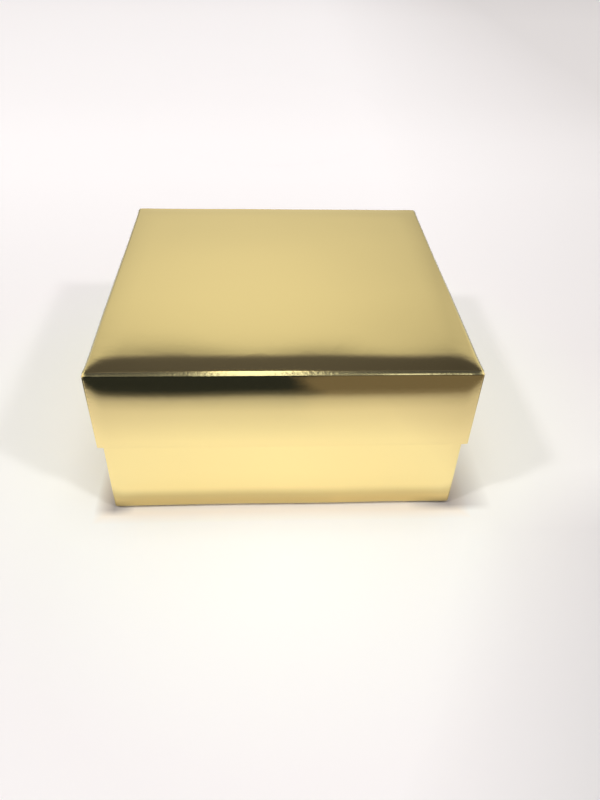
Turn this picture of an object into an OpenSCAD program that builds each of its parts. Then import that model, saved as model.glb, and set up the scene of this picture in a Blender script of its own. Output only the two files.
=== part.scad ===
// Square two-piece favor box: a base tray and a telescoping lid of wrapped greyboard.
// Millimetres. +Z is up, the front faces -Y, and the origin is the centre of the underside.
// Lid and base are the same construction. A scored board is folded up into a tray, its cut
// corners are held by paper stays, a liner is pasted inside, and a foil paper wrap covers
// the outside, laps at the corners and turns in over the rim.
// The modules build a tray with its mouth up, standing on z = 0. The lid is one mirrored.

/* [Closed box] */
// Width over the lid, left to right
box_w = 102; // [60:1:200]
// Depth over the lid, front to back
box_d = 102; // [60:1:200]
// Height of the closed box
box_h = 50.5; // [40:0.5:120]
// Depth of the lid, from its top to its rim
lid_h = 25; // [18:0.5:36]
// Gap between the lid's inside and the base's outside, on each side
fit_gap = 0.3; // [0.3:0.05:1]

/* [Greyboard] */
// Thickness of the board
board_t = 0.6; // [0.5:0.1:2]
// Width of the slit between the cut wall ends at each corner
slit_w = 0.2; // [0.1:0.05:0.4]
// Depth of the scores. Each is cut from the outside and opens to a square notch in the fold
score_depth = 0.3; // [0.15:0.05:0.35]

/* [Foil paper wrap] */
// Thickness of the foil paper
wrap_t = 0.13; // [0.1:0.01:0.2]
// Outside radius of the folds round the top of the lid and the foot of the base
fold_r = 1; // [0.6:0.1:2]
// Outside radius of the upright corners
corner_r = 0.6; // [0.5:0.1:1.5]
// Depth of the turn-in below the rim, on the inside
turn_in = 14; // [6:0.5:15]
// How much each end of a turn-in is cut back at its free edge
mitre = 5; // [2:0.5:10]
// Width of the ears that fold round the corners, under the side laps
ear_w = 10; // [9:0.5:15]
// Distance from each corner to the edge of a side lap
lap_inset = 1.6; // [1.5:0.1:3]

/* [Liner and stays] */
// Thickness of the liner paper
liner_t = 0.1; // [0.08:0.01:0.2]
// Thickness of the corner stays
stay_t = 0.12; // [0.1:0.01:0.2]
// Width of each leg of a corner stay
stay_leg = 8; // [5:0.5:8.5]
// Distance from a stay's end to the board's fold or rim
stay_margin = 1.5; // [1:0.5:3]

/* [Hidden] */

// Facets of an arc
$fn = 48;
// How far a cut runs past the face that it opens
over = 1;

// How far inside the outer surface lie the inner faces of the board, of a panel, which is
// paper, board and liner, and of a wall, which has the turn-in as well
board_face = wrap_t + board_t;
panel_t = board_face + liner_t;
wall_t = panel_t + wrap_t;

lid_size = [box_w, box_d, lid_h];
base_size = [
    box_w - 2 * (wall_t + fit_gap),
    box_d - 2 * (wall_t + fit_gap),
    box_h - panel_t,
];

// Corners of a tray, as signs along X and Y
FRONT_LEFT = [-1, -1];
FRONT_RIGHT = [1, -1];
BACK_LEFT = [-1, 1];
BACK_RIGHT = [1, 1];
CORNERS = [FRONT_LEFT, FRONT_RIGHT, BACK_LEFT, BACK_RIGHT];

gold = "#E8CE86";
grey = "#9A958B";
kraft = "#B8976A";
white = "#F4F2EC";

// A plain box centred on the Z axis, from z = low up
module upright_box(w, d, h, low) {
    translate([-w / 2, -d / 2, low])
        cube([w, d, h]);
}

// A rectangle with its four corners rounded, centred
module rounded_rect(w, d, r) {
    square([w, d - 2 * r], center = true);
    square([w - 2 * r, d], center = true);
    for (c = CORNERS)
        translate([c.x * (w / 2 - r), c.y * (d / 2 - r)])
            circle(r);
}

// The end view of a tray: rounded at its folds, and at the rim where paper turns over it
module end_outline(w, h, r, rim_r) {
    translate([-w / 2, r])
        square([w, h - r - rim_r]);
    translate([r - w / 2, 0])
        square([w - 2 * r, r]);
    for (side = [-1, 1])
        translate([side * (w / 2 - r), r])
            circle(r);
    if (rim_r > 0) {
        translate([rim_r - w / 2, h - rim_r])
            square([w - 2 * rim_r, rim_r]);
        for (side = [-1, 1])
            translate([side * (w / 2 - rim_r), h - rim_r])
                circle(rim_r);
    }
}

// The solid inside the outer surface of one layer of a tray, set in from the outermost.
// Its end views cross in a mitre at each corner, as folded sheet does.
module tray_block(size, set_in, rim_r) {
    r = fold_r - set_in;
    intersection() {
        rotate([90, 0, 0])
            linear_extrude(size.y, center = true)
                end_outline(size.x, size.z, r, rim_r);
        rotate([90, 0, 90])
            linear_extrude(size.x, center = true)
                end_outline(size.y, size.z, r, rim_r);
        linear_extrude(size.z)
            rounded_rect(size.x, size.y, corner_r - set_in);
    }
}

// The outside of the folded board. At the ends of its sides it is pressed in by the ears.
module board_block(size) {
    outer = size - 2 * [wrap_t, wrap_t, wrap_t];
    pressed = outer - 2 * [wrap_t, 0, 0];
    translate([0, 0, wrap_t]) {
        tray_block(pressed, wrap_t, 0);
        intersection() {
            tray_block(outer, wrap_t, 0);
            upright_box(outer.x, size.y - 2 * ear_w, outer.z, 0);
        }
    }
}

// The space inside the board's walls
module board_cavity(size) {
    upright_box(size.x - 2 * board_face, size.y - 2 * board_face, size.z, board_face);
}

// The notches that the half-cut scores open into, along the outside of the four folds
module score_notches(size) {
    reach = [size.x / 2 - wrap_t, size.y / 2 - wrap_t];
    for (side = [-1, 1]) {
        translate([side * reach.x, 0, 0])
            upright_box(2 * score_depth, size.y, wrap_t + score_depth, 0);
        translate([0, side * reach.y, 0])
            upright_box(size.x, 2 * score_depth, wrap_t + score_depth, 0);
    }
}

// The slits where the ends of the side walls butt against the front and back walls
module corner_slits(size, thickness, low) {
    for (c = CORNERS)
        translate([
            c.x * (size.x / 2 - thickness / 2),
            c.y * (size.y / 2 - thickness - slit_w / 2),
            0,
        ])
            upright_box(2 * thickness, slit_w, size.z, low);
}

// A gummed paper angle round one cut corner, pressed flush into the board
module corner_stay(size, corner) {
    w = size.x - 4 * wrap_t;
    d = size.y - 2 * wrap_t;
    r = corner_r - wrap_t;
    low = fold_r + stay_margin;
    h = size.z - wrap_t - stay_margin - low;
    color(kraft)
        translate([0, 0, low])
            intersection() {
                linear_extrude(h)
                    difference() {
                        rounded_rect(w, d, r);
                        rounded_rect(w - 2 * stay_t, d - 2 * stay_t, r - stay_t);
                    }
                translate([corner.x * w / 2, corner.y * d / 2, 0])
                    upright_box(2 * stay_leg, 2 * stay_leg, h, 0);
            }
}

// The greyboard, folded up: one panel and four walls, joined only at the scores
module folded_board(size) {
    color(grey)
        difference() {
            board_block(size);
            board_cavity(size);
            score_notches(size);
            corner_slits(size, board_face, board_face);
            for (c = CORNERS)
                corner_stay(size, c);
        }
}

// The liner inside the board: a floor and four flaps up to the rim, cut apart at the corners
module folded_liner(size) {
    outer = [size.x - 2 * board_face, size.y - 2 * board_face, size.z];
    color(white)
        difference() {
            upright_box(outer.x, outer.y, size.z - wrap_t - board_face, board_face);
            upright_box(outer.x - 2 * liner_t, outer.y - 2 * liner_t, size.z, panel_t);
            corner_slits(outer, liner_t, panel_t);
        }
}

// The outside of the wrap. The front and back flaps end in ears round the corners, and the
// side flaps lap over the ears.
module wrap_block(size) {
    ears = size - 2 * [wrap_t, 0, 0];
    for (side = [-1, 1])
        intersection() {
            tray_block(ears, 0, wrap_t);
            translate([0, side * (size.y - ear_w) / 2, 0])
                upright_box(size.x, ear_w, size.z, 0);
        }
    intersection() {
        tray_block(size, 0, wrap_t);
        upright_box(size.x, size.y - 2 * lap_inset, size.z, 0);
    }
}

// One turn-in: a strip down the inside of a wall, with its ends cut back at the free edge.
// It hangs from z = 0, and its back is on y = 0.
module turn_in_strip(length) {
    rotate([90, 0, 0])
        linear_extrude(wrap_t)
            polygon([
                [-length / 2, 0],
                [length / 2, 0],
                [length / 2 - mitre, -turn_in],
                [mitre - length / 2, -turn_in],
            ]);
}

// The foil paper, one sheet: panel, flaps, ears, and the turn-ins over the liner
module folded_wrap(size) {
    inside = [size.x - 2 * panel_t, size.y - 2 * panel_t];
    color(gold) {
        difference() {
            wrap_block(size);
            board_block(size);
            upright_box(inside.x, inside.y, wrap_t + over, size.z - wrap_t);
        }
        for (turn = [0, 180]) {
            rotate(turn)
                translate([0, inside.y / 2, size.z])
                    turn_in_strip(inside.x);
            rotate(turn + 90)
                translate([0, inside.x / 2, size.z])
                    turn_in_strip(inside.y);
        }
    }
}

// Turns a tray mouth down, so that its panel is the top of the box
module as_lid() {
    translate([0, 0, box_h])
        mirror([0, 0, 1])
            children();
}

module base_board() {
    folded_board(base_size);
}

module base_stay(corner) {
    corner_stay(base_size, corner);
}

module base_liner() {
    folded_liner(base_size);
}

module base_wrap() {
    folded_wrap(base_size);
}

module lid_board() {
    as_lid()
        folded_board(lid_size);
}

module lid_stay(corner) {
    as_lid()
        corner_stay(lid_size, corner);
}

module lid_liner() {
    as_lid()
        folded_liner(lid_size);
}

module lid_wrap() {
    as_lid()
        folded_wrap(lid_size);
}

base_board();
base_stay(FRONT_LEFT);  // base_stay_front_left
base_stay(FRONT_RIGHT);  // base_stay_front_right
base_stay(BACK_LEFT);  // base_stay_back_left
base_stay(BACK_RIGHT);  // base_stay_back_right
base_liner();
base_wrap();
lid_board();
lid_stay(FRONT_LEFT);  // lid_stay_front_left
lid_stay(FRONT_RIGHT);  // lid_stay_front_right
lid_stay(BACK_LEFT);  // lid_stay_back_left
lid_stay(BACK_RIGHT);  // lid_stay_back_right
lid_liner();
lid_wrap();
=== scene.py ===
"""A square gold foil favor box on a pale table: a wrapped greyboard tray and its lift-off lid."""

import itertools
import math

import bmesh
import bpy
from mathutils import Matrix, Vector, noise


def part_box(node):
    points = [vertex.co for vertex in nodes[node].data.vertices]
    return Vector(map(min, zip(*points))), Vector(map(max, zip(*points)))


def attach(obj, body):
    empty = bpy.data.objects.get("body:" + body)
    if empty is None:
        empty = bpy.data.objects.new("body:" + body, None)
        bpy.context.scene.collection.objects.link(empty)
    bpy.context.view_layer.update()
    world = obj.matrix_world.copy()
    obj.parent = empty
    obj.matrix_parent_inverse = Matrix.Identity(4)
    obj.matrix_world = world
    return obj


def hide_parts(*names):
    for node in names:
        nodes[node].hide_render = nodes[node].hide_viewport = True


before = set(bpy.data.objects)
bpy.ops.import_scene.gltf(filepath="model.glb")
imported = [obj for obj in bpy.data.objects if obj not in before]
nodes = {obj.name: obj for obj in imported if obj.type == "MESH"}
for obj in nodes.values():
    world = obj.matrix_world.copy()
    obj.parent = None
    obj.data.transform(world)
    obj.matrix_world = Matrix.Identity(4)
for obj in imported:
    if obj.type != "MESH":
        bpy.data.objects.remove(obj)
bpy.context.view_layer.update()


# Greyboard trays.
# Each tray is one blank of grey pulp board, scored, cut out at the corners and folded up. Its
# soft folds and uneven panels give every layer that is pasted on it its shape.

TRAYS = ("base", "lid")

# The lowest and highest corners of each tray
TRAY_BOXES ={tray: [Vector(corner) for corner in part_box(f"{tray}_wrap")] for tray in TRAYS}

BOARD_GREY = (0.30, 0.28, 0.245)
BOARD_DEEP_GREY = (0.24, 0.224, 0.196)
BOARD_FLECK = (0.12, 0.11, 0.10)
BOARD_FIBRE_PER_M = 900.0
BOARD_FIBRE_DEPTH = 0.00006
BOARD_FLECK_PER_M = 350.0
BOARD_FLECK_RANGE = (0.36, 0.30)
BOARD_ROUGHNESS = 0.9

# The folds' outside radius, and the cuts that make the faces fine enough to bend
FOLD_RADIUS = 0.001
FOLD_CUTS = 2
CROWN_REACH = 0.009
CROWN_CUTS = 9
MIDDLE_STEP = 0.004
MERGE_WITHIN = 1e-7
FLAT_WITHIN = math.radians(0.5)
SHARP_FROM = math.radians(35)

# How far the outer faces sink: towards the folds, at the ends of the walls, and in waves
CROWN_DEPTH = 0.00030
WALL_END_DEPTH = 0.00030
WALL_END_REACH = 0.004
WAVE_PER_M = 34.0
WAVE_DEPTH = 0.00022
RIPPLE_PER_M = 80.0
RIPPLE_DEPTH = 0.00002

# What lies this close to the outside sinks in full, and the sinking ends past a fold
SKIN_DEPTH = 0.00020
FOLD_RUN_OUT = 0.003

# Vertex tags for the foil's wear and painted shade: near a fold, near a corner, near a panel fold, and
# round it
WEAR_AND_SHADE_TAGS = ("fold", "corner", "bend", "turn")
WEAR_AND_SHADE_REACH = 0.0016


def new_material(name, shader_kind="ShaderNodeBsdfPrincipled"):
    """A material with one bare shader on its output."""
    material = bpy.data.materials.new(name)
    material.use_nodes = True
    tree = material.node_tree
    tree.nodes.clear()
    output = tree.nodes.new("ShaderNodeOutputMaterial")
    shader = tree.nodes.new(shader_kind)
    tree.links.new(shader.outputs[0], output.inputs["Surface"])
    return material, tree, shader


def add_node(tree, kind, inputs=None, **settings):
    """A node of that kind, with settings as attributes and inputs as values or links."""
    node = tree.nodes.new(kind)
    for key, value in settings.items():
        setattr(node, key, value)
    for key, value in (inputs or {}).items():
        if isinstance(value, bpy.types.NodeSocket):
            tree.links.new(value, node.inputs[key])
        else:
            node.inputs[key].default_value = value
    return node


def object_place(tree):
    """The place on the object, in metres."""
    return add_node(tree, "ShaderNodeTexCoord").outputs["Object"]


def noise_on(tree, place, per_m, detail=2.0, roughness=0.5, stretch=(1.0, 1.0, 1.0)):
    """Noise of a given number of cells per metre, stretched along the axes."""
    mapping = add_node(tree, "ShaderNodeMapping", {"Vector": place, "Scale": stretch})
    return add_node(
        tree, "ShaderNodeTexNoise",
        {"Vector": mapping.outputs["Vector"], "Scale": per_m, "Detail": detail, "Roughness": roughness},
    ).outputs["Fac"]


def mix_colors(tree, share, color_a, color_b):
    """From color_a at share 0 to color_b at share 1. A Mix node's colours are its sockets 6 and 7."""
    color_a, color_b = (
        color if isinstance(color, bpy.types.NodeSocket) else (*color, 1.0) for color in (color_a, color_b)
    )
    return add_node(tree, "ShaderNodeMix", {0: share, 6: color_a, 7: color_b}, data_type="RGBA").outputs[2]


def remap(tree, value, low, high, to_low=0.0, to_high=1.0):
    """Value from low..high to to_low..to_high, held at the ends."""
    return add_node(
        tree, "ShaderNodeMapRange",
        {"Value": value, "From Min": low, "From Max": high, "To Min": to_low, "To Max": to_high},
    ).outputs["Result"]


def bump_from(tree, height, depth, under=None):
    """The normal of a surface that a height from 0 to 1 raises by the depth, over the one under it."""
    inputs = {"Height": height, "Distance": depth, "Strength": 1.0}
    if under is not None:
        inputs["Normal"] = under
    return add_node(tree, "ShaderNodeBump", inputs).outputs["Normal"]


def nearness(distance, reach):
    """1 at no distance, evenly down to 0 at the reach and beyond."""
    return min(1.0, max(0.0, 1.0 - distance / reach))


def cut_finely(layer, low, high):
    """Cuts a tray's layer into small faces, finest next to the folds."""
    for axis, normal in enumerate(((1, 0, 0), (0, 1, 0), (0, 0, 1))):
        span = high[axis] - low[axis]
        between = span - 2 * CROWN_REACH
        near = [step * FOLD_RADIUS / (FOLD_CUTS + 1) for step in range(1, FOLD_CUTS + 1)]
        near += [step * CROWN_REACH / CROWN_CUTS for step in range(1, CROWN_CUTS + 1)]
        middle_cuts = math.ceil(between / MIDDLE_STEP)
        middle = [CROWN_REACH + step * between / middle_cuts for step in range(1, middle_cuts)]
        for inset in near + middle + [span - depth for depth in near]:
            point = low.copy()
            point[axis] += inset
            bmesh.ops.bisect_plane(
                layer, geom=layer.verts[:] + layer.edges[:] + layer.faces[:],
                plane_co=point, plane_no=normal, dist=MERGE_WITHIN,
            )


def sinking(place, depths):
    """How far a place sinks along X, Y and Z, by its depths below the sides and the panel."""
    x_side, y_side, panel = (nearness(depth, CROWN_REACH) ** 2 for depth in depths)
    crown = (panel * (1.0 - y_side), panel * (1.0 - x_side), x_side + y_side - x_side * y_side)
    wall_end = (0.0, nearness(depths[0], WALL_END_REACH) ** 2, 0.0)
    uneven = WAVE_DEPTH * (1.0 + noise.noise(place * WAVE_PER_M)) / 2
    uneven += RIPPLE_DEPTH * (1.0 + noise.noise(place * RIPPLE_PER_M)) / 2
    return [
        (CROWN_DEPTH * crown[i] + WALL_END_DEPTH * wall_end[i] + uneven)
        * nearness(depths[i] - FOLD_RADIUS, FOLD_RUN_OUT)
        for i in range(3)
    ]


def wear_and_shade_at(depths, to_rim, rounding):
    """The wear and painted-shade tags of a place, by its depths and how far into a fold's round it lies.
    """
    x_depth, y_depth, to_panel = depths
    _, to_fold, to_corner, _ = sorted((*depths, to_rim))
    less_round, more_round = sorted((max(rounding.xy), rounding.z))
    return (
        nearness(to_fold, WEAR_AND_SHADE_REACH),
        nearness(to_corner, WEAR_AND_SHADE_REACH),
        nearness(max(to_panel, min(x_depth, y_depth)), CROWN_REACH),
        less_round / more_round if more_round else 0.0,
    )


def soften(layer, low, high, board_depth, panel_up):
    """Sinks the outside of a tray's layer near the folds and rounds each corner into a ball.

    What lies deeper than the board keeps its place. Every vertex gets its wear and painted-shade tags.
    """
    tags = [layer.verts.layers.float.new(tag) for tag in WEAR_AND_SHADE_TAGS]
    middle = (low + high) / 2
    for vert in layer.verts:
        place = vert.co.copy()
        to_panel = high.z - place.z if panel_up else place.z - low.z
        depths = [min(place[i] - low[i], high[i] - place[i]) for i in (0, 1)] + [to_panel]

        # Within a fold's round, the depth below the surface runs along its radius
        rounding = Vector([max(0.0, FOLD_RADIUS - depth) for depth in depths])
        radius = max(Vector(pair).length for pair in itertools.combinations(rounding, 2))
        skin_depth = FOLD_RADIUS - radius if radius else min(depths)
        skin = nearness(skin_depth - SKIN_DEPTH, board_depth - SKIN_DEPTH)
        to_ball = 1.0 - radius / rounding.length if radius else 0.0

        inward = [math.copysign(1.0, middle[i] - place[i]) for i in (0, 1)] + [-1.0 if panel_up else 1.0]
        for i, sink in enumerate(sinking(place, depths)):
            vert.co[i] += inward[i] * (skin * sink + to_ball * rounding[i])
        for tag, share in zip(tags, wear_and_shade_at(depths, high.z - low.z - to_panel, rounding)):
            vert[tag] = share


def softened_copy(name, node, tray):
    """A copy of a tray's CAD node with its soft folds and corners, in the node's stead."""
    low, high = TRAY_BOXES[tray]
    board_depth = high.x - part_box(f"{tray}_liner")[1][0]
    layer = bmesh.new()
    layer.from_mesh(node.data)
    bmesh.ops.remove_doubles(layer, verts=layer.verts, dist=MERGE_WITHIN)
    bmesh.ops.dissolve_limit(layer, angle_limit=FLAT_WITHIN, verts=layer.verts, edges=layer.edges)
    cut_finely(layer, low, high)
    soften(layer, low, high, board_depth, panel_up=tray == "lid")
    mesh = bpy.data.meshes.new(name)
    layer.to_mesh(mesh)
    layer.free()
    mesh.shade_smooth()
    mesh.set_sharp_from_angle(angle=SHARP_FROM)
    piece = bpy.data.objects.new(name, mesh)
    bpy.context.scene.collection.objects.link(piece)
    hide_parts(node.name)
    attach(piece, tray)
    return piece


greyboard, tree, shader = new_material("greyboard")
place = object_place(tree)
fibre = noise_on(tree, place, BOARD_FIBRE_PER_M, detail=6.0, roughness=0.7)
flecks = remap(tree, noise_on(tree, place, BOARD_FLECK_PER_M), *BOARD_FLECK_RANGE)
grey = mix_colors(tree, fibre, BOARD_GREY, BOARD_DEEP_GREY)
tree.links.new(mix_colors(tree, flecks, grey, BOARD_FLECK), shader.inputs["Base Color"])
tree.links.new(bump_from(tree, fibre, BOARD_FIBRE_DEPTH), shader.inputs["Normal"])
shader.inputs["Roughness"].default_value = BOARD_ROUGHNESS

for tray in TRAYS:
    board = softened_copy(f"{tray}_greyboard", nodes[f"{tray}_board"], tray)
    board.data.materials.append(greyboard)


# Corner stays.
# A strip of gummed kraft paper, folded round each cut corner of the board and pressed into
# it, keeps the walls together. The wrap covers all eight.

CORNERS = ("front_left", "front_right", "back_left", "back_right")

KRAFT_BROWN = (0.40, 0.24, 0.11)
KRAFT_DEEP_BROWN = (0.288, 0.1728, 0.0792)
KRAFT_FIBRE_PER_M = 600.0
KRAFT_FIBRE_STRETCH = (1.0, 1.0, 0.15)
KRAFT_FIBRE_DEPTH = 0.00003
KRAFT_ROUGHNESS = 0.7

kraft, tree, shader = new_material("kraft")
fibre = noise_on(
    tree, object_place(tree), KRAFT_FIBRE_PER_M, detail=5.0, roughness=0.65, stretch=KRAFT_FIBRE_STRETCH
)
tree.links.new(mix_colors(tree, fibre, KRAFT_BROWN, KRAFT_DEEP_BROWN), shader.inputs["Base Color"])
tree.links.new(bump_from(tree, fibre, KRAFT_FIBRE_DEPTH), shader.inputs["Normal"])
shader.inputs["Roughness"].default_value = KRAFT_ROUGHNESS

for tray in TRAYS:
    for corner in CORNERS:
        stay = softened_copy(f"{tray}_angle_{corner}", nodes[f"{tray}_stay_{corner}"], tray)
        stay.data.materials.append(kraft)


# Liners.
# White lining paper is pasted over the board's inner faces, and shows once the lid is off.
# It has a soft uncoated tooth.

LINER_WHITE = (0.82, 0.80, 0.75)
LINER_CLOUD = (0.7708, 0.752, 0.705)
LINER_CLOUD_PER_M = 60.0
LINER_TOOTH_PER_M = 1500.0
LINER_TOOTH_DEPTH = 0.00002
LINER_ROUGHNESS = 0.8

lining, tree, shader = new_material("lining")
place = object_place(tree)
tooth = noise_on(tree, place, LINER_TOOTH_PER_M, detail=4.0, roughness=0.6)
cloud = noise_on(tree, place, LINER_CLOUD_PER_M)
tree.links.new(mix_colors(tree, cloud, LINER_WHITE, LINER_CLOUD), shader.inputs["Base Color"])
tree.links.new(bump_from(tree, tooth, LINER_TOOTH_DEPTH), shader.inputs["Normal"])
shader.inputs["Roughness"].default_value = LINER_ROUGHNESS

for tray in TRAYS:
    liner = nodes[f"{tray}_liner"]
    liner.data.materials.clear()
    liner.data.materials.append(lining)


# Foil wraps.
# One sheet of paper laminated with gold film covers each tray, with its ears under the side
# laps and its edges turned in over the rim. The gold is painted darker along the panel folds, as painted
# shade.

FOIL_GOLD = (0.99, 0.81, 0.385)
FOIL_ROUGHNESS = 0.07
FOLD_ROUGHNESS = 0.16

# The painted shade on the folds starts at the edge of a fold's round, and spares the corners
SHADED_FOLD_GOLD = (0.46, 0.415, 0.235)
FOLD_SHADE_TURN = (0.0, 0.35)
FOLD_SHADE_CORNER = (0.25, 0.50)

# The film's unevenness and pits everywhere, and its grain and crackle near the folds, with
# more crackle at the corners
PEEL_PER_M = 700.0
PEEL_DEPTH = 0.0000012
PIT_PER_M = 110.0
PIT_RANGE = (0.60, 0.85)
PIT_DEPTH = 0.000006
GRAIN_PER_M = 300.0
GRAIN_DEPTH = 0.000016
CRACKLE_PER_M = 1100.0
CRACKLE_DEPTH = 0.00003
CORNER_CRACKLE = 1.0


def math_node(tree, operation, *values):
    """A Math node on numbers and links. Gives its output."""
    return add_node(tree, "ShaderNodeMath", dict(enumerate(values)), operation=operation).outputs[0]


foil, tree, shader = new_material("gold_foil")
place = object_place(tree)
fold, corner, bend, turn = (
    add_node(tree, "ShaderNodeAttribute", attribute_name=tag).outputs["Fac"] for tag in WEAR_AND_SHADE_TAGS
)
peel = noise_on(tree, place, PEEL_PER_M, detail=3.0)
pits = remap(tree, noise_on(tree, place, PIT_PER_M, detail=0.0), *PIT_RANGE, 1.0, 0.0)
grain = math_node(tree, "MULTIPLY", noise_on(tree, place, GRAIN_PER_M), bend)
crackled = math_node(tree, "MULTIPLY", fold, math_node(tree, "MULTIPLY_ADD", corner, CORNER_CRACKLE, 1.0))
crackle = math_node(tree, "MULTIPLY", noise_on(tree, place, CRACKLE_PER_M), crackled)
normal = None
for height, depth in (
    (peel, PEEL_DEPTH), (pits, PIT_DEPTH), (grain, GRAIN_DEPTH), (crackle, CRACKLE_DEPTH),
):
    normal = bump_from(tree, height, depth, normal)
tree.links.new(normal, shader.inputs["Normal"])
tree.links.new(remap(tree, fold, 0.0, 1.0, FOIL_ROUGHNESS, FOLD_ROUGHNESS), shader.inputs["Roughness"])
# Painted shade: the gold darkens round the folds, but not at the corners
fold_shade = math_node(
    tree, "MULTIPLY", remap(tree, turn, *FOLD_SHADE_TURN), remap(tree, corner, *FOLD_SHADE_CORNER, 1.0, 0.0)
)
tree.links.new(mix_colors(tree, fold_shade, FOIL_GOLD, SHADED_FOLD_GOLD), shader.inputs["Base Color"])
shader.inputs["Metallic"].default_value = 1.0

for tray in TRAYS:
    sheet = softened_copy(f"{tray}_foil", nodes[f"{tray}_wrap"], tray)
    sheet.data.materials.append(foil)


# Table.
# A pale matt table top with light and shade painted on it. It is yellower near the box and warmer at
# the box's foot, a painted spill of the gold's light; a little darker to the right, painted shade;
# and dark close beside the two front corners, painted shadow.

TABLE_HALF = 4.0
TABLE_ROUGHNESS = 0.9
# Painted light: the table is yellower near the box and warmer at its foot, where the gold's light spills
# on it
TABLE_NEAR = (0.965, 0.960, 0.930)
TABLE_FOOT_GLOW = (0.970, 0.880, 0.770)
FOOT_GLOW_REACH = (0.0515, 0.0555)
TABLE_FAR = (0.965, 0.922, 0.922)
FAR_REACH = (0.085, 0.125)
# Painted shade: the table is darker towards the right
TABLE_RIGHT_SHADE = (0.72, 0.68, 0.67)
RIGHT_REACH = (0.07, 0.29)

# The painted shade at the front right darkens along a slant, from a line beside the box's front on
TABLE_FRONT_RIGHT_SHADE = (0.79, 0.76, 0.76)
FRONT_RIGHT_SLANT = 0.45
FRONT_RIGHT_REACH = (0.080, 0.120)
FRONT_RIGHT_FROM = (-0.035, -0.060)

# Each shade has its side and its width, and all run from a front line to a back line
TABLE_SHADE = (0.42, 0.38, 0.36)
CORNER_SHADES = ((1.0, 0.013), (-1.0, 0.006))
SHADE_FRONT = (-0.0525, -0.0500)
SHADE_BACK = (-0.0460, -0.0100)

# The table glows as painted light: behind the box, by its Y, and in a painted pool of the light that the
# front wall throws on it
FAR_GLOW = (
    (0.03, 0.0), (0.10, 0.05), (0.21, 0.145), (0.28, 0.17), (0.38, 0.165), (0.52, 0.19), (0.75, 0.23),
)
THROWN_GLOW = 0.10
THROWN_AT = (0.0, -0.070, 0.0)
THROWN_REACH = 0.065


def stage_object(name, made):
    """A piece of the surroundings from a bmesh. It is no part of the box."""
    mesh = bpy.data.meshes.new(name)
    made.to_mesh(mesh)
    made.free()
    thing = bpy.data.objects.new(name, mesh)
    bpy.context.scene.collection.objects.link(thing)
    return thing


def axes_of(tree, vector):
    """The X, Y and Z of a vector."""
    return add_node(tree, "ShaderNodeSeparateXYZ", {"Vector": vector}).outputs


def square_distance(tree, axes):
    """How far a place is from the middle, counted in squares like the box's outline."""
    along_x, along_y = (math_node(tree, "ABSOLUTE", axes[name]) for name in ("X", "Y"))
    return math_node(tree, "MAXIMUM", along_x, along_y)


def level_at(tree, value, stops):
    """The level at a value, straight between stops of value and level and held past the ends."""
    low, high = stops[0][0], stops[-1][0]
    ramp = add_node(tree, "ShaderNodeValToRGB", {"Fac": remap(tree, value, low, high)})
    elements = ramp.color_ramp.elements
    for index, (at, level) in enumerate(stops):
        # A new ramp has two stops already
        stop = elements[index] if index < 2 else elements.new(1.0)
        stop.position = (at - low) / (high - low)
        stop.color = (level, level, level, 1.0)
    return ramp.outputs["Color"]


top = bmesh.new()
bmesh.ops.create_grid(top, x_segments=1, y_segments=1, size=TABLE_HALF)
table = stage_object("table", top)
pale, tree, shader = new_material("pale_table")
place = object_place(tree)
axes = axes_of(tree, place)
from_middle = add_node(tree, "ShaderNodeVectorMath", {0: place}, operation="LENGTH").outputs["Value"]
# Painted glow at the box's foot, painted shade to the right and front right, and painted shadow by the
# front corners
tone = mix_colors(tree, remap(tree, square_distance(tree, axes), *FOOT_GLOW_REACH), TABLE_FOOT_GLOW, TABLE_NEAR)
tone = mix_colors(tree, remap(tree, from_middle, *FAR_REACH), tone, TABLE_FAR)
tone = mix_colors(tree, remap(tree, axes["X"], *RIGHT_REACH), tone, TABLE_RIGHT_SHADE)
slanting = math_node(tree, "MULTIPLY_ADD", axes["Y"], -FRONT_RIGHT_SLANT, axes["X"])
front_right = math_node(
    tree, "MULTIPLY", remap(tree, slanting, *FRONT_RIGHT_REACH), remap(tree, axes["Y"], *FRONT_RIGHT_FROM)
)
tone = mix_colors(tree, front_right, tone, TABLE_FRONT_RIGHT_SHADE)
shade_length = math_node(
    tree, "MULTIPLY", remap(tree, axes["Y"], *SHADE_FRONT), remap(tree, axes["Y"], *SHADE_BACK, 1.0, 0.0)
)
for side, width in CORNER_SHADES:
    foot_x = side * TRAY_BOXES["base"][1].x
    away = math_node(tree, "ABSOLUTE", math_node(tree, "SUBTRACT", axes["X"], foot_x))
    shade = math_node(tree, "MULTIPLY", shade_length, remap(tree, away, 0.0, width, 1.0, 0.0))
    tone = mix_colors(tree, shade, tone, TABLE_SHADE)
tree.links.new(tone, shader.inputs["Base Color"])
from_thrown = add_node(
    tree, "ShaderNodeVectorMath", {0: place, 1: THROWN_AT}, operation="DISTANCE"
).outputs["Value"]
glow = math_node(
    tree, "ADD", level_at(tree, axes["Y"], FAR_GLOW),
    remap(tree, from_thrown, 0.0, THROWN_REACH, THROWN_GLOW, 0.0),
)
tree.links.new(glow, shader.inputs["Emission Strength"])
shader.inputs["Emission Color"].default_value = (*TABLE_FAR, 1.0)
shader.inputs["Roughness"].default_value = TABLE_ROUGHNESS
shader.inputs["Specular IOR Level"].default_value = 0.0
table.data.materials.append(pale)


# Dark border.
# A dark sheet flat round the box, with a rim up along its front, that only the foil mirrors:
# it makes the dark band under the lid's front fold, and dims the foot of the walls.

BORDER_GAP = 0.00016
BORDER_OUTER = 0.138
BORDER_LIFT = 0.0004
BORDER_RIM = 0.065
BORDER_BLACK = (0.022, 0.026, 0.030)
BORDER_BROWN = (0.165, 0.138, 0.111)
BORDER_CHANGE_X = (0.014, 0.026)
BORDER_RAGGED_PER_M = 60.0
BORDER_RAGGED_BY = 0.02

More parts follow.
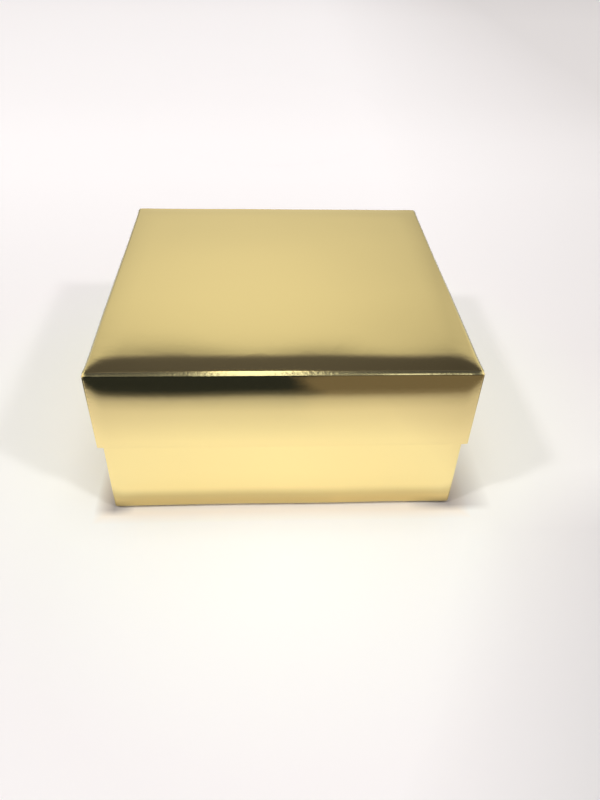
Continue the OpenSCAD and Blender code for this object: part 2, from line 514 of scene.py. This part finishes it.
# How much of the mirrored table it covers, at each distance from the middle
BORDER_COVER = (
    (0.0499, 0.36), (0.0535, 0.33), (0.0548, 0.22), (0.0562, 0.07), (0.0574, 0.0), (0.079, 0.0),
    (0.0896, 0.17), (0.0959, 0.25), (0.0992, 0.37), (0.102, 0.50), (0.1055, 0.67), (0.109, 0.92),
    (0.114, 1.0),
)

border_inner = TRAY_BOXES["base"][1].x + BORDER_GAP
sheet = bmesh.new()
bmesh.ops.create_grid(
    sheet, x_segments=1, y_segments=1, size=BORDER_OUTER, matrix=Matrix.Translation((0, 0, BORDER_LIFT))
)
bmesh.ops.inset_region(
    sheet, faces=sheet.faces[:], thickness=BORDER_OUTER - border_inner,
    use_boundary=True, use_even_offset=True,
)
middle_face = min(sheet.faces, key=lambda face: face.calc_center_median().xy.length)
bmesh.ops.delete(sheet, geom=[middle_face], context="FACES")
front_edge = min(sheet.edges, key=lambda edge: sum(vert.co.y for vert in edge.verts))
rim = bmesh.ops.extrude_edge_only(sheet, edges=[front_edge])
for vert in rim["geom"]:
    if isinstance(vert, bmesh.types.BMVert):
        vert.co.z = BORDER_RIM
border = stage_object("dark_border", sheet)
border.visible_camera = False
border.visible_diffuse = False
border.visible_shadow = False
dark, tree, shader = new_material("dark_border", "ShaderNodeMixShader")
place = object_place(tree)
axes = axes_of(tree, place)
cover = level_at(tree, square_distance(tree, axes), BORDER_COVER)
ragged_x = math_node(
    tree, "MULTIPLY_ADD", noise_on(tree, place, BORDER_RAGGED_PER_M), BORDER_RAGGED_BY, axes["X"]
)
tone = mix_colors(tree, remap(tree, ragged_x, *BORDER_CHANGE_X), BORDER_BLACK, BORDER_BROWN)
clear = add_node(tree, "ShaderNodeBsdfTransparent").outputs["BSDF"]
covered = add_node(tree, "ShaderNodeEmission", {"Color": tone}).outputs["Emission"]
for socket, source in zip(shader.inputs, (cover, clear, covered)):
    tree.links.new(source, socket)
border.data.materials.append(dark)


# Surround.
# A pale room. The foil mirrors it as a soft sweep with a dark patch above the horizon behind,
# two bright windows that light the front fold's ridge, and pale sides.

# Its level at each angle from the horizon behind, over the top, to the horizon in front
SURROUND_LEVELS = (
    (0, 0.80), (20, 0.66), (23, 0.685), (27, 0.765), (30, 0.80), (33, 0.77), (34.3, 0.74),
    (36.9, 0.092), (47, 0.092), (56, 0.20), (120, 0.20), (135, 0.32), (180, 0.32),
)

# Where across it is brightest, how fast that falls off to the sides, and the share that stays
SURROUND_BRIGHTEST_X = -0.03
SURROUND_FALL = 2.9
SURROUND_FALL_END = 0.70

# Each window's middle, half its width, the angles where it starts and is full, and its level
SURROUND_WINDOWS = ((-0.014, 0.072, 46, 56, 3.0), (0.220, 0.050, 125, 150, 2.1))
WINDOW_BLUR = 0.006

# The level of the pale sides, and how far across they start and are full
SURROUND_ASIDE = 0.95
ASIDE_FROM = (0.36, 0.50)

# Its tint, the tint of its dark parts, and the levels between which one becomes the other
SURROUND_TINT = (1.0, 0.965, 0.84)
SURROUND_DARK_TINT = (1.03, 0.98, 1.05)
DARK_TINT_RANGE = (0.10, 0.40)

# What the camera sees of it, and what lights the matt surfaces
SEEN_SURROUND = (0.94, 0.935, 0.925)
DIFFUSE_SURROUND = (0.35, 0.35, 0.345)


def mix_levels(tree, share, level_a, level_b):
    """From level_a at share 0 to level_b at share 1. A Mix node's numbers are its sockets 2 and 3."""
    return add_node(tree, "ShaderNodeMix", {0: share, 2: level_a, 3: level_b}).outputs[0]


world = bpy.data.worlds.new("surround")
bpy.context.scene.world = world
world.use_nodes = True
tree = world.node_tree
tree.nodes.clear()
toward = axes_of(tree, add_node(tree, "ShaderNodeTexCoord").outputs["Generated"])
angle = math_node(tree, "DEGREES", math_node(tree, "ARCTAN2", toward["Z"], toward["Y"]))
off = math_node(tree, "SUBTRACT", toward["X"], SURROUND_BRIGHTEST_X)
fall = math_node(tree, "MULTIPLY", math_node(tree, "MULTIPLY", off, off), SURROUND_FALL)
kept = math_node(tree, "MAXIMUM", math_node(tree, "SUBTRACT", 1.0, fall), SURROUND_FALL_END)
level = math_node(tree, "MULTIPLY", level_at(tree, angle, SURROUND_LEVELS), kept)
for middle_x, half_width, start, full, brightness in SURROUND_WINDOWS:
    away = math_node(tree, "ABSOLUTE", math_node(tree, "SUBTRACT", toward["X"], middle_x))
    inside = math_node(
        tree, "MULTIPLY", remap(tree, away, half_width + WINDOW_BLUR, half_width - WINDOW_BLUR),
        remap(tree, angle, start, full),
    )
    level = mix_levels(tree, inside, level, brightness)
aside = remap(tree, math_node(tree, "ABSOLUTE", toward["X"]), *ASIDE_FROM)
level = mix_levels(tree, aside, level, SURROUND_ASIDE)
tint = mix_colors(tree, remap(tree, level, *DARK_TINT_RANGE), SURROUND_DARK_TINT, SURROUND_TINT)
mirrored = add_node(
    tree, "ShaderNodeVectorMath", {0: tint, "Scale": level}, operation="SCALE"
).outputs["Vector"]
rays = add_node(tree, "ShaderNodeLightPath").outputs
lit = mix_colors(tree, rays["Is Glossy Ray"], DIFFUSE_SURROUND, mirrored)
seen = mix_colors(tree, rays["Is Camera Ray"], lit, SEEN_SURROUND)
background = add_node(tree, "ShaderNodeBackground", {"Color": seen, "Strength": 1.0})
add_node(tree, "ShaderNodeOutputWorld", {"Surface": background.outputs["Background"]})


# Lamps.
# A large soft one overhead, and two small ones in front at the sides, whose light gives the
# box its pale shadows to the left and right. The foil doesn't mirror them.

# Name, place, width and power of each
STUDIO_LAMPS = (
    ("overhead", (0.0, -0.3, 2.2), 1.6, 19.5),
    ("front_right", (0.86, -0.65, 1.05), 0.13, 4.3),
    ("front_left", (-0.82, -0.47, 1.17), 0.13, 3.9),
)

for name, stand, width, watts in STUDIO_LAMPS:
    light = bpy.data.lights.new(name, "AREA")
    light.size = width
    light.energy = watts
    lamp = bpy.data.objects.new(name, light)
    lamp.location = stand
    lamp.rotation_euler = Vector(stand).to_track_quat("Z", "Y").to_euler()
    lamp.visible_glossy = False
    bpy.context.scene.collection.objects.link(lamp)


# Camera.
# It stands a little left of the box's middle and looks down on it, turned and rolled
# slightly, as the perspective of the photograph works out.

CAMERA_PLACE = (-0.00523, -0.18318, 0.14949)
CAMERA_YAW = math.radians(3.836)
CAMERA_PITCH = math.radians(39.077)
CAMERA_ROLL = math.radians(1.987)
FOCAL_PIXELS = 664.1
PICTURE_HEIGHT = 800
SENSOR_HEIGHT = 36.0
SEEN_FROM = 0.01

ahead = Vector((
    math.sin(CAMERA_YAW) * math.cos(CAMERA_PITCH),
    math.cos(CAMERA_YAW) * math.cos(CAMERA_PITCH),
    -math.sin(CAMERA_PITCH),
))
level_right = Vector((math.cos(CAMERA_YAW), -math.sin(CAMERA_YAW), 0.0))
level_up = level_right.cross(ahead)
right = math.cos(CAMERA_ROLL) * level_right + math.sin(CAMERA_ROLL) * level_up
up = -math.sin(CAMERA_ROLL) * level_right + math.cos(CAMERA_ROLL) * level_up
lens = bpy.data.cameras.new("camera")
lens.sensor_fit = "VERTICAL"
lens.sensor_height = SENSOR_HEIGHT
lens.lens = SENSOR_HEIGHT * FOCAL_PIXELS / PICTURE_HEIGHT
lens.clip_start = SEEN_FROM
camera = bpy.data.objects.new("camera", lens)
camera.matrix_world = Matrix.Translation(CAMERA_PLACE) @ Matrix((right, up, -ahead)).transposed().to_4x4()
bpy.context.scene.collection.objects.link(camera)
bpy.context.scene.camera = camera
bpy.context.scene.view_settings.view_transform = "Standard"
